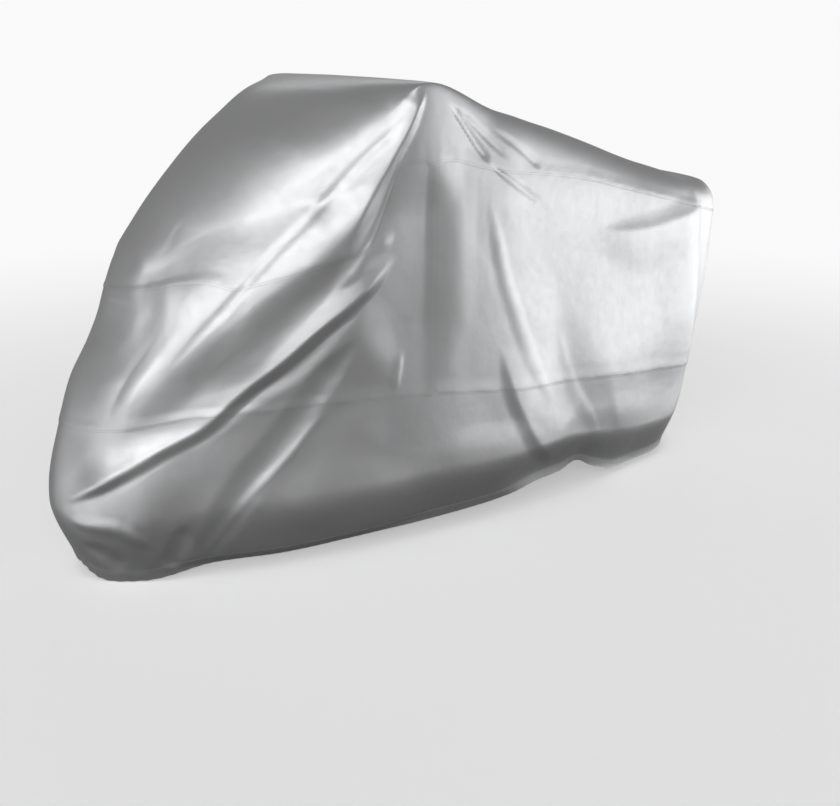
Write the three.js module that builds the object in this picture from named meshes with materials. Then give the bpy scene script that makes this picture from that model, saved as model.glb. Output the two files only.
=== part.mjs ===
// A motorcycle cover: one sewn shell of coated cloth, in the shape in which it hangs over a machine
// that is left out. Millimetres, with Z up. The machine's front is at -X, its tail at +X and its left
// side at -Y. The origin is where the machine carries the top panel, on the cloth's underside.
//
// The shell is a loft. Ribs stand on a line that runs from the nose's centre, round the left side, to
// the tail's centre, and the right side is its mirror image. "along" is the distance on that line, and
// "level" goes up each rib, from the hem to the crown on the centre plane. Folds are then raised on the
// loft along short curves, and seams part it into the panels that a maker would cut.
import * as THREE from 'three';

const CLOTH_THICKNESS = 2;
const HEM_THICKNESS = 3;
const SEAM_GAP = 0.6;
const CARRIED_HEIGHT = 1150;

// The levels of a rib's six points. Between the outer ones a level is close to a millimetre of cloth.
const LEVELS = { hem: 0, belly: 150, low: 400, high: 850, shoulder: 1070, crown: 1400 };
const KNOTS = Object.values(LEVELS);

// A rib's points are [x, distance from the centre plane, height above the hem's lowest point]. The crown
// is on the centre plane, so it has no distance. belly is how far the cloth swells out above the hem.
const BELLY_PLACE = 0.55;
const RIBS = [
  { name: 'nose_centre', foot: [-1035, 0, 25], belly: 52, low: [-1052, 0, 420],
    high: [-930, 0, 685], shoulder: [-896, 0, 775], crown: [-868, 835] },
  { name: 'nose_corner', foot: [-1010, 88, 2], belly: 50, low: [-1024, 85, 420],
    high: [-890, 110, 690], shoulder: [-855, 92, 790], crown: [-850, 865] },
  { name: 'nose_side', foot: [-930, 152, 0], belly: 42, low: [-965, 158, 420],
    high: [-800, 190, 700], shoulder: [-745, 170, 845], crown: [-800, 932] },
  { name: 'wheel', foot: [-760, 208, 28], belly: 38, low: [-805, 235, 425],
    high: [-650, 265, 720], shoulder: [-575, 250, 940], crown: [-695, 1045] },
  { name: 'fork', foot: [-560, 262, 30], belly: 38, low: [-585, 305, 430],
    high: [-470, 340, 770], shoulder: [-420, 325, 1060], crown: [-565, 1150] },
  { name: 'screen', foot: [-385, 292, 36], belly: 38, low: [-395, 350, 435],
    high: [-340, 380, 900], shoulder: [-300, 368, 1160], crown: [-430, 1228] },
  { name: 'grip', foot: [-170, 315, 40], belly: 38, low: [-170, 385, 435],
    high: [-175, 402, 1040], shoulder: [-190, 396, 1240], crown: [-200, 1246] },
  { name: 'tank', foot: [60, 320, 45], belly: 38, low: [60, 385, 405],
    high: [50, 375, 1000], shoulder: [40, 346, 1166], crown: [0, 1152] },
  { name: 'seat', foot: [400, 305, 62], belly: 38, low: [400, 345, 370],
    high: [390, 330, 950], shoulder: [385, 280, 1068], crown: [385, 1046] },
  { name: 'pillion', foot: [690, 262, 14], belly: 36, low: [710, 292, 330],
    high: [700, 285, 880], shoulder: [690, 232, 975], crown: [690, 966] },
  { name: 'tail_side', foot: [915, 210, 12], belly: 24, low: [950, 240, 310],
    high: [985, 235, 835], shoulder: [955, 192, 915], crown: [950, 932] },
  { name: 'tail_corner', foot: [1005, 115, 26], belly: 20, low: [1088, 130, 295],
    high: [1155, 138, 800], shoulder: [1115, 120, 886], crown: [1105, 900] },
  { name: 'tail_centre', foot: [1040, 0, 38], belly: 22, low: [1124, 0, 290],
    high: [1200, 0, 790], shoulder: [1190, 0, 852], crown: [1155, 888] },
];

// Places where the hem's elastic lifts it, or lets it down where lift is negative.
const HEM_LIFTS = [
  { name: 'rear_notch', along: 1635, lift: 22, width: 55 },
  { name: 'rear_drop', along: 1830, lift: -10, width: 70 },
];
const GRIP_RIB = RIBS.findIndex((rib) => rib.name === 'grip');

// Cells of cloth between one rib and the next, on the left side. The right side has half as many.
const CELLS_BETWEEN_RIBS = [2, 2, 8, 10, 10, 10, 8, 10, 6, 4, 4, 2];
const ROWS = { skirt: 7, band: 15, top: 10 };

// The two seams that run round the cover: the level of each at a distance along it.
const LOW_SEAM = [[0, 395], [150, 400], [385, 427], [545, 423], [800, 415], [1005, 402], [1545, 407],
  [1945, 412], [2230, 395], [2435, 392]];
const HIGH_SEAM = [[0, 985], [215, 945], [320, 900], [545, 896], [650, 868], [765, 822], [865, 920],
  [940, 895], [1015, 862], [1520, 870], [1860, 872], [2140, 841], [2435, 838]];

// Folds. path is the [along, level] points that the fold's line runs through. depth is how far it stands
// out of the loft, or in where it is negative. width is that of the fold's front side at its start and at
// its end, and rear is how wide its rear side is beside that, so a small value makes a lap. grow and fade
// are the shares of its length over which it rises and dies away.
const LEFT_FOLDS = [
  { name: 'front_ridge', path: [[980, 1045], [720, 930], [480, 895], [300, 660], [125, 370]],
    depth: 28, width: [30, 110], rear: 0.6, grow: 0.12, fade: 0.25 },
  { name: 'grip_edge', path: [[995, 1060], [888, 977], [822, 959], [760, 913], [645, 873]],
    depth: 16, width: [30, 60], rear: 0.5, grow: 0.12, fade: 0.3 },
  { name: 'front_valley', path: [[910, 850], [719, 861], [532, 827], [349, 649], [120, 345]],
    depth: -22, width: [30, 58], rear: 1, grow: 0.2, fade: 0.25 },
  { name: 'front_lap', path: [[900, 735], [719, 705], [581, 690], [482, 511], [330, 355], [5, 160]],
    depth: 24, width: [40, 90], rear: 0.36, grow: 0.15, fade: 0.2 },
  { name: 'under_lap', path: [[875, 690], [700, 650], [590, 575], [480, 425], [300, 290], [65, 150]],
    depth: -8, width: [30, 40], rear: 1, grow: 0.2, fade: 0.25 },
  { name: 'second_lap', path: [[875, 730], [827, 605], [773, 507], [711, 441], [588, 254]],
    depth: 17, width: [55, 90], rear: 0.4, grow: 0.25, fade: 0.3 },
  { name: 'low_ridge', path: [[810, 510], [738, 435], [596, 256], [332, 24]],
    depth: 14, width: [28, 34], rear: 0.8, grow: 0.2, fade: 0.15 },
  { name: 'upright_trough', path: [[1015, 885], [1020, 645], [1035, 380]],
    depth: -12, width: [26, 38], rear: 1, grow: 0.1, fade: 0.25 },
  { name: 'rear_ridge', path: [[1150, 895], [1260, 595], [1520, 230]],
    depth: 15, width: [30, 60], rear: 0.6, grow: 0.2, fade: 0.3 },
  { name: 'rear_ridge_2', path: [[1470, 555], [1550, 375], [1705, 95]],
    depth: 9, width: [26, 30], rear: 0.8, grow: 0.3, fade: 0.3 },
  { name: 'rear_swell', path: [[1400, 445], [1770, 555], [2190, 670]],
    depth: 20, width: [120, 120], rear: 1, grow: 0.3, fade: 0.3 },
  { name: 'tail_wedge', path: [[1625, 725], [1910, 735], [2210, 845]],
    depth: -20, width: [26, 38], rear: 1, grow: 0.35, fade: 0.12 },
  { name: 'tail_wedge_lip', path: [[1660, 760], [1910, 780], [2220, 925]],
    depth: 10, width: [24, 28], rear: 1, grow: 0.3, fade: 0.12 },
  { name: 'grip_fan_1', path: [[1065, 1025], [1125, 945], [1210, 865]],
    depth: -11, width: [20, 26], rear: 1, grow: 0.15, fade: 0.3 },
  { name: 'grip_fan_2', path: [[1165, 865], [1290, 830], [1440, 770]],
    depth: -9, width: [20, 24], rear: 1, grow: 0.3, fade: 0.3 },
  { name: 'under_shoulder', path: [[1055, 1000], [1495, 945], [2115, 915]],
    depth: -16, width: [26, 45], rear: 1, grow: 0.15, fade: 0.2 },
  { name: 'low_valley', path: [[1210, 525], [1260, 340], [1505, 15]],
    depth: -16, width: [26, 36], rear: 1, grow: 0.3, fade: 0.2 },
  { name: 'low_swell', path: [[975, 190], [1205, 200], [1435, 180]],
    depth: 9, width: [45, 45], rear: 1, grow: 0.3, fade: 0.3 },
  { name: 'nose_valley', path: [[145, 1090], [125, 770], [5, 495]],
    depth: -15, width: [26, 40], rear: 1, grow: 0.3, fade: 0.25 },
  { name: 'nose_gather', path: [[320, 125], [290, 75], [255, 20]],
    depth: -12, width: [24, 28], rear: 1, grow: 0.35, fade: 0.1 },
  { name: 'nose_tuck', path: [[65, 80], [115, 70], [155, 30]],
    depth: -10, width: [24, 26], rear: 1, grow: 0.35, fade: 0.2 },
  { name: 'tail_hang', path: [[2330, 780], [2345, 560], [2380, 240]],
    depth: 12, width: [30, 50], rear: 0.8, grow: 0.25, fade: 0.3 },
];
const RIGHT_FOLDS = [
  { name: 'front_ridge', path: [[985, 1050], [740, 960], [500, 880], [330, 660], [160, 400]],
    depth: 26, width: [34, 105], rear: 0.7, grow: 0.12, fade: 0.25 },
  { name: 'front_valley', path: [[930, 880], [760, 840], [560, 750], [380, 560], [190, 300]],
    depth: -22, width: [36, 62], rear: 1, grow: 0.2, fade: 0.25 },
  { name: 'front_lap', path: [[925, 770], [790, 690], [640, 560], [470, 330], [280, 130]],
    depth: 24, width: [50, 90], rear: 0.5, grow: 0.15, fade: 0.2 },
  { name: 'low_ridge', path: [[900, 560], [760, 320], [560, 40]],
    depth: 14, width: [40, 46], rear: 0.9, grow: 0.2, fade: 0.15 },
  { name: 'upright_trough', path: [[1015, 885], [1015, 645], [1020, 380]],
    depth: -12, width: [36, 42], rear: 1, grow: 0.1, fade: 0.25 },
  { name: 'rear_ridge', path: [[1120, 930], [1230, 640], [1400, 200]],
    depth: 16, width: [40, 66], rear: 0.7, grow: 0.2, fade: 0.3 },
  { name: 'rear_ridge_2', path: [[1420, 760], [1570, 520], [1790, 160]],
    depth: 12, width: [40, 48], rear: 0.8, grow: 0.3, fade: 0.3 },
  { name: 'rear_swell', path: [[1560, 420], [1850, 520], [2180, 610]],
    depth: 20, width: [110, 120], rear: 1, grow: 0.3, fade: 0.3 },
  { name: 'tail_wedge', path: [[1700, 700], [1960, 740], [2210, 850]],
    depth: -16, width: [34, 42], rear: 1, grow: 0.35, fade: 0.12 },
  { name: 'under_shoulder', path: [[1070, 1000], [1480, 930], [2100, 910]],
    depth: -16, width: [34, 50], rear: 1, grow: 0.15, fade: 0.2 },
  { name: 'nose_valley', path: [[160, 1060], [110, 800], [40, 520]],
    depth: -12, width: [30, 42], rear: 1, grow: 0.3, fade: 0.25 },
  { name: 'tail_hang', path: [[2300, 790], [2330, 540], [2350, 200]],
    depth: 14, width: [36, 50], rear: 0.8, grow: 0.25, fade: 0.3 },
];
const FOLD_STEPS = 28;
const FOLD_REACH = 3.2;
const NARROW_END = 0.45;

const LEFT = -1;
const RIGHT = 1;

const clothMaterial = (color) => new THREE.MeshStandardMaterial({
  color, roughness: 0.42, metalness: 0.7, side: THREE.DoubleSide,
});

// Distances of the ribs along the cover, measured round the ring of their low points.
const ribPlaces = RIBS.reduce((places, rib, index) => {
  if (index === 0) return [0];
  const before = RIBS[index - 1].low;
  const step = Math.hypot(rib.low[0] - before[0], rib.low[1] - before[1]);
  return [...places, places[index - 1] + step];
}, []);
const END = ribPlaces.at(-1);
const GRIP = ribPlaces[GRIP_RIB];

// The direction in plan that faces away from the cover at a rib, as [x, distance from the centre plane].
function outwardInPlan(index) {
  const mirrored = (rib) => [rib.low[0], -rib.low[1]];
  const before = index === 0 ? mirrored(RIBS[1]) : RIBS[index - 1].low;
  const after = index === RIBS.length - 1 ? mirrored(RIBS[index - 1]) : RIBS[index + 1].low;
  const [dx, dw] = [after[0] - before[0], after[1] - before[1]];
  const length = Math.hypot(dx, dw);
  return [-dw / length, dx / length];
}

// Each rib as its six points, [x, distance, z] flattened to eighteen numbers.
const ribPoints = RIBS.map((rib, index) => {
  const out = outwardInPlan(index);
  const belly = rib.low.map((value, axis) => value + (rib.foot[axis] - value) * BELLY_PLACE);
  belly[0] += out[0] * rib.belly;
  belly[1] += out[1] * rib.belly;
  const crown = [rib.crown[0], 0, rib.crown[1]];
  return [rib.foot, belly, rib.low, rib.high, rib.shoulder, crown].flat();
});
const mirrorFlat = (points) => points.map((value, index) => (index % 3 === 1 ? -value : value));

const hermite = (t, span, a, slopeA, b, slopeB) => (
  (2 * t ** 3 - 3 * t ** 2 + 1) * a + (t ** 3 - 2 * t ** 2 + t) * span * slopeA
  + (3 * t ** 2 - 2 * t ** 3) * b + (t ** 3 - t ** 2) * span * slopeB
);
const meanSlope = (first, second, spanOne, spanTwo) => (
  (second * spanOne + first * spanTwo) / (spanOne + spanTwo)
);
// A slope that lets no curve run past its own points.
function steadySlope(first, second, spanOne, spanTwo) {
  if (first * second <= 0) return 0;
  const limit = 3 * Math.min(Math.abs(first), Math.abs(second));
  const mean = meanSlope(first, second, spanOne, spanTwo);
  return Math.sign(mean) * Math.min(Math.abs(mean), limit);
}
function spanAt(knots, place) {
  let index = 0;
  while (index < knots.length - 2 && place >= knots[index + 1]) index += 1;
  return index;
}

// A seam's level at a distance along the cover.
function seamLevel(table, along) {
  const places = table.map((row) => row[0]);
  const index = spanAt(places, along);
  const slope = (k) => (table[k + 1][1] - table[k][1]) / (places[k + 1] - places[k]);
  const slopeAt = (k) => {
    if (k === 0 || k === table.length - 1) return 0;
    return steadySlope(slope(k - 1), slope(k), places[k] - places[k - 1], places[k + 1] - places[k]);
  };
  const span = places[index + 1] - places[index];
  const t = (along - places[index]) / span;
  return hermite(t, span, table[index][1], slopeAt(index), table[index + 1][1], slopeAt(index + 1));
}

// The rib at any distance along the cover, between the ones in the table.
const ribSlopes = ribPoints.map((points, index) => {
  const last = ribPoints.length - 1;
  const before = index === 0 ? mirrorFlat(ribPoints[1]) : ribPoints[index - 1];
  const after = index === last ? mirrorFlat(ribPoints[last - 1]) : ribPoints[index + 1];
  const spanOne = index === 0 ? ribPlaces[1] : ribPlaces[index] - ribPlaces[index - 1];
  const spanTwo = index === last ? spanOne : ribPlaces[index + 1] - ribPlaces[index];
  return points.map((value, k) => meanSlope(
    (value - before[k]) / spanOne, (after[k] - value) / spanTwo, spanOne, spanTwo,
  ));
});
function ribAt(along) {
  const index = spanAt(ribPlaces, along);
  const span = ribPlaces[index + 1] - ribPlaces[index];
  const t = (along - ribPlaces[index]) / span;
  return ribPoints[index].map((value, k) => hermite(
    t, span, value, ribSlopes[index][k], ribPoints[index + 1][k], ribSlopes[index + 1][k],
  ));
}

// How far the hem's unevenness moves a point up. It dies away from the hem to the belly.
function hemLift(along, level) {
  if (level >= LEVELS.belly) return 0;
  const share = (1 - level / LEVELS.belly) ** 2;
  return HEM_LIFTS.reduce(
    (sum, place) => sum + place.lift * share * Math.exp(-(((along - place.along) / place.width) ** 2)),
    0,
  );
}

// A point of the plain loft. Past the centre plane it goes on over the other side.
function loftPoint(side, along, level) {
  if (along < 0) return loftPoint(-side, -along, level);
  if (along > END) return loftPoint(-side, 2 * END - along, level);
  if (level > LEVELS.crown) return loftPoint(-side, along, 2 * LEVELS.crown - level);
  const rib = ribAt(along);
  const index = spanAt(KNOTS, level);
  const span = KNOTS[index + 1] - KNOTS[index];
  const t = (level - KNOTS[index]) / span;
  const value = (knot, axis) => {
    if (knot < KNOTS.length) return rib[3 * knot + axis];
    return rib[3 * (KNOTS.length - 2) + axis] * (axis === 1 ? -1 : 1);
  };
  const knotPlace = (knot) => (knot < KNOTS.length ? KNOTS[knot] : 2 * LEVELS.crown - LEVELS.shoulder);
  const slope = (knot, axis) => (
    (value(knot + 1, axis) - value(knot, axis)) / (knotPlace(knot + 1) - knotPlace(knot))
  );
  const slopeAt = (knot, axis) => {
    if (knot === 0) return slope(0, axis);
    const spans = [knotPlace(knot) - knotPlace(knot - 1), knotPlace(knot + 1) - knotPlace(knot)];
    return steadySlope(slope(knot - 1, axis), slope(knot, axis), ...spans);
  };
  const [x, distance, z] = [0, 1, 2].map((axis) => hermite(
    t, span, value(index, axis), slopeAt(index, axis), value(index + 1, axis), slopeAt(index + 1, axis),
  ));
  return new THREE.Vector3(x, side * distance, z + hemLift(along, level));
}

// The direction out of a surface that is given by a function of along and level.
const NORMAL_STEP = 2;
function normalOf(surface, side, along, level) {
  const low = Math.max(level - NORMAL_STEP, 0);
  const alongStep = surface(side, along + NORMAL_STEP, level)
    .sub(surface(side, along - NORMAL_STEP, level));
  const levelStep = surface(side, along, level + NORMAL_STEP).sub(surface(side, along, low));
  return alongStep.cross(levelStep).multiplyScalar(-side).normalize();
}

const smoothStep = (value) => {
  const t = THREE.MathUtils.clamp(value, 0, 1);
  return t * t * (3 - 2 * t);
};

// A fold with its line laid on the loft as a run of short straight steps.
function placeFold(side, fold) {
  const spline = new THREE.SplineCurve(fold.path.map((point) => new THREE.Vector2(...point)));
  const line = spline.getSpacedPoints(FOLD_STEPS).map(
    (point) => loftPoint(side, point.x, point.y),
  );
  const lengths = line.map((point, index) => (index === 0 ? 0 : point.distanceTo(line[index - 1])));
  const total = lengths.reduce((sum, length) => sum + length, 0);
  let run = 0;
  const shares = lengths.map((length) => {
    run += length;
    return run / total;
  });
  const room = new THREE.Box3().setFromPoints(line).expandByScalar(FOLD_REACH * Math.max(...fold.width));
  return { ...fold, side, line, shares, room };
}
const folds = [
  ...LEFT_FOLDS.map((fold) => placeFold(LEFT, fold)),
  ...RIGHT_FOLDS.map((fold) => placeFold(RIGHT, fold)),
];

// How far one fold raises the loft at a point.
function foldHeight(fold, point, normal) {
  if (!fold.room.containsPoint(point)) return 0;
  let nearest = Infinity;
  let share = 0;
  let frontward = 0;
  for (let index = 0; index < FOLD_STEPS; index += 1) {
    const step = fold.line[index + 1].clone().sub(fold.line[index]);
    const offset = point.clone().sub(fold.line[index]);
    const t = THREE.MathUtils.clamp(offset.dot(step) / step.lengthSq(), 0, 1);
    offset.addScaledVector(step, -t);
    const distance = offset.length();
    if (distance < nearest) {
      nearest = distance;
      share = fold.shares[index] + t * (fold.shares[index + 1] - fold.shares[index]);
      frontward = -fold.side * offset.dot(step.cross(normal));
    }
  }
  const strength = smoothStep(share / fold.grow) * smoothStep((1 - share) / fold.fade);
  const spread = NARROW_END + (1 - NARROW_END) * strength;
  const frontWidth = THREE.MathUtils.lerp(fold.width[0], fold.width[1], share) * spread;
  const width = frontward > 0 ? frontWidth : frontWidth * fold.rear;
  return fold.depth * strength * Math.exp(-((nearest / width) ** 2));
}

// A point on the outside of the cloth, folds included.
function clothPoint(side, along, level) {
  const point = loftPoint(side, along, level);
  const normal = normalOf(loftPoint, side, along, level);
  const height = folds.reduce((sum, fold) => sum + foldHeight(fold, point, normal), 0);
  return point.addScaledVector(normal, height);
}

// Distances along the cover of the columns of cells between two ribs. every = 2 leaves out each second.
function columnsBetween(firstRib, lastRib, every) {
  const columns = [ribPlaces[firstRib]];
  for (let rib = firstRib; rib < lastRib; rib += 1) {
    const cells = CELLS_BETWEEN_RIBS[rib];
    for (let cell = every; cell <= cells; cell += every) {
      columns.push(ribPlaces[rib] + (ribPlaces[rib + 1] - ribPlaces[rib]) * (cell / cells));
    }
  }
  return columns;
}

// One panel of cloth as a closed sheet: an outer face, an inner face and a wall round every free edge.
class Panel {
  constructor(name, thicknessAt) {
    this.name = name;
    this.thicknessAt = thicknessAt;
    this.outer = [];
    this.inner = [];
    this.index = new Map();
    this.triangles = [];
  }

  vertex(side, along, level) {
    const onCentre = along === 0 || along === END || level === LEVELS.crown;
    const key = `${onCentre ? 0 : side}:${along.toFixed(3)}:${level.toFixed(3)}`;
    if (!this.index.has(key)) {
      const point = clothPoint(side, along, level);
      const normal = normalOf(clothPoint, side, along, level);
      if (onCentre) {
        point.y = 0;
      }
      this.index.set(key, this.outer.length);
      this.outer.push(point);
      this.inner.push(point.clone().addScaledVector(normal, -this.thicknessAt(level)));
    }
    return this.index.get(key);
  }

  triangle(side, a, b, c) {
    this.triangles.push(side === LEFT ? [a, b, c] : [a, c, b]);
  }

  // A four-sided cell, cut along its shorter diagonal.
  cell(side, a, b, c, d) {
    const { outer } = this;
    if (outer[a].distanceTo(outer[c]) <= outer[b].distanceTo(outer[d])) {
      this.triangle(side, a, b, c);
      this.triangle(side, a, c, d);
    } else {
      this.triangle(side, a, b, d);
      this.triangle(side, b, c, d);
    }
  }

  // A grid of cells on one side of the cover, between two levels that change along it.
  patch(side, columns, rows, lowLevel, highLevel) {
    const grid = columns.map((along) => {
      const [low, high] = [lowLevel(along), highLevel(along)];
      return Array.from({ length: rows + 1 }, (_, row) => (
        this.vertex(side, along, low + (high - low) * (row / rows))
      ));
    });
    for (let column = 0; column < columns.length - 1; column += 1) {
      for (let row = 0; row < rows; row += 1) {
        const [here, next] = [grid[column], grid[column + 1]];
        this.cell(side, here[row], next[row], next[row + 1], here[row + 1]);
      }
    }
  }

  // The strip between a coarse row and a crown that has one more vertex in each of its cells.
  crownStrip(side, columns, lowLevel) {
    for (let column = 0; column < columns.length - 1; column += 1) {
      const [first, last] = [columns[column], columns[column + 1]];
      const [a, b] = [first, last].map((along) => this.vertex(side, along, lowLevel(along)));
      const [c, d, e] = [first, (first + last) / 2, last].map(
        (along) => this.vertex(side, along, LEVELS.crown),
      );
      this.triangle(side, a, b, d);
      this.triangle(side, a, d, c);
      this.triangle(side, b, e, d);
    }
  }

  mesh(material) {
    const count = this.outer.length;
    const faces = [];
    const edges = new Map();
    this.triangles.forEach(([a, b, c]) => {
      faces.push(a, b, c, count + a, count + c, count + b);
      [[a, b], [b, c], [c, a]].forEach(([from, to]) => edges.set(`${from}:${to}`, [from, to]));
    });
    // Each wall is cut from the same end as the wall across the seam, so that the two stay parallel.
    const place = (vertex) => this.outer[vertex].x + this.outer[vertex].z;
    edges.forEach(([from, to]) => {
      if (edges.has(`${to}:${from}`)) return;
      if (place(from) < place(to)) {
        faces.push(to, from, count + to, from, count + from, count + to);
      } else {
        faces.push(to, from, count + from, to, count + from, count + to);
      }
    });
    const positions = [...this.outer, ...this.inner].flatMap((point) => [point.x, point.y, point.z]);
    const geometry = new THREE.BufferGeometry();
    geometry.setAttribute('position', new THREE.Float32BufferAttribute(positions, 3));
    geometry.setIndex(faces);
    geometry.computeVertexNormals();
    const mesh = new THREE.Mesh(geometry, material);
    mesh.name = this.name;
    return mesh;
  }
}

const halfGap = SEAM_GAP / 2;

// One edge of a seam. Half of the gap is measured square to the seam, so it grows where the seam climbs.
const SLOPE_STEP = 1;
function seamEdge(table, sign) {
  return (along) => {
    const before = seamLevel(table, Math.max(along - SLOPE_STEP, 0));
    const after = seamLevel(table, Math.min(along + SLOPE_STEP, END));
    const climb = (after - before) / (2 * SLOPE_STEP);
    return seamLevel(table, along) + sign * halfGap * Math.hypot(1, climb);
  };
}
const lowSeamTop = seamEdge(LOW_SEAM, 1);
const lowSeamFoot = seamEdge(LOW_SEAM, -1);
const highSeamTop = seamEdge(HIGH_SEAM, 1);
const highSeamFoot = seamEdge(HIGH_SEAM, -1);
const LAST_RIB = RIBS.length - 1;
const evenThickness = () => CLOTH_THICKNESS;
const SIDES = [{ side: LEFT, every: 1 }, { side: RIGHT, every: 2 }];

function topPanel() {
  const panel = new Panel('top_panel', evenThickness);
  const crown = () => LEVELS.crown;
  const rowBelowCrown = (along) => (
    highSeamTop(along) + (LEVELS.crown - highSeamTop(along)) * ((ROWS.top - 1) / ROWS.top)
  );
  panel.patch(LEFT, columnsBetween(0, LAST_RIB, 1), ROWS.top, highSeamTop, crown);
  const coarse = columnsBetween(0, LAST_RIB, 2);
  panel.patch(RIGHT, coarse, ROWS.top - 1, highSeamTop, rowBelowCrown);
  panel.crownStrip(RIGHT, coarse, rowBelowCrown);
  return panel.mesh(clothMaterial(0xb9babc));
}

function frontBand() {
  const panel = new Panel('front_band', evenThickness);
  SIDES.forEach(({ side, every }) => {
    const columns = columnsBetween(0, GRIP_RIB, every);
    columns[columns.length - 1] = GRIP - halfGap;
    panel.patch(side, columns, ROWS.band, lowSeamTop, highSeamFoot);
  });
  return panel.mesh(clothMaterial(0xb7b8ba));
}

function rearBand() {
  const panel = new Panel('rear_band', evenThickness);
  SIDES.forEach(({ side, every }) => {
    const columns = columnsBetween(GRIP_RIB, LAST_RIB, every);
    columns[0] = GRIP + halfGap;
    panel.patch(side, columns, ROWS.band, lowSeamTop, highSeamFoot);
  });
  return panel.mesh(clothMaterial(0xb6b7b9));
}

function skirt() {
  const panel = new Panel('skirt', (level) => (level === LEVELS.hem ? HEM_THICKNESS : CLOTH_THICKNESS));
  SIDES.forEach(({ side, every }) => {
    const columns = columnsBetween(0, LAST_RIB, every);
    columns[columns.length - 1] = END - halfGap;
    panel.patch(side, columns, ROWS.skirt, () => LEVELS.hem, lowSeamFoot);
  });
  return panel.mesh(clothMaterial(0xb4b5b7));
}

const cover = new THREE.Group();
cover.add(topPanel(), frontBand(), rearBand(), skirt());
cover.position.z = -CARRIED_HEIGHT;

export default cover;
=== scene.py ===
"""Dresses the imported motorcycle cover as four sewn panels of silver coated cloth.

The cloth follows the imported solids. "along" is the distance from the nose's centre, round the left
side, to the tail's centre. It is negative on the right side, and runs on past the tail's centre up
the right side. "level" goes up the cover from the hem to the crown and on down the other side. Both
are in millimetres, as are the tables here. Blender's objects are in metres.
"""

import math

import bpy
import numpy as np
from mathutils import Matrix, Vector


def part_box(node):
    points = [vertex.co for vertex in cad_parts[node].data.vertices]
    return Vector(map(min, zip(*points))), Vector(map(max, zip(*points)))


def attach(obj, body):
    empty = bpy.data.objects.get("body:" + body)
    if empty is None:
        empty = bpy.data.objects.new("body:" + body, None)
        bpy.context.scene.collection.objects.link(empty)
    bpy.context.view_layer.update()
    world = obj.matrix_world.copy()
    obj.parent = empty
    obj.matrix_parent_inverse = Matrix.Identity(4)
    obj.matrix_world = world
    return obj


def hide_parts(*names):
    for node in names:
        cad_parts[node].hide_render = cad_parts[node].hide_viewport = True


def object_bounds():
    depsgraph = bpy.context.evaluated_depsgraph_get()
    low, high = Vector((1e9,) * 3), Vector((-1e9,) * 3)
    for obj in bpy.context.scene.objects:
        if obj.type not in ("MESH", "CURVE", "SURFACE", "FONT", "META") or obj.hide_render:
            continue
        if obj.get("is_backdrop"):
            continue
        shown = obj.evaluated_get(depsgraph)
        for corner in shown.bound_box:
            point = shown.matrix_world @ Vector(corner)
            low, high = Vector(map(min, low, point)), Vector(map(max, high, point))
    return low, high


bl_info = {
    "name": "Motorcycle Cover",
    "version": (1, 0, 0),
    "blender": (4, 5, 0),
    "location": "3D View > Sidebar > Cover",
    "description": "Sews a draped motorcycle cover over its packed solids",
    "category": "Add Mesh",
}

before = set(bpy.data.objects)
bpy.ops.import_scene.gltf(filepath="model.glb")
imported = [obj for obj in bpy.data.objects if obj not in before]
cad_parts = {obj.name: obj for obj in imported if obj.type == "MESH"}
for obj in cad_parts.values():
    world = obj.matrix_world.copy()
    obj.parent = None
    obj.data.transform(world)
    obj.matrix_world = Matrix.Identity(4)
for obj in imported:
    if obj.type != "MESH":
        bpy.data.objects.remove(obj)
CAD_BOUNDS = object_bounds()

MM = 0.001
LEFT = -1
RIGHT = 1

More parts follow.
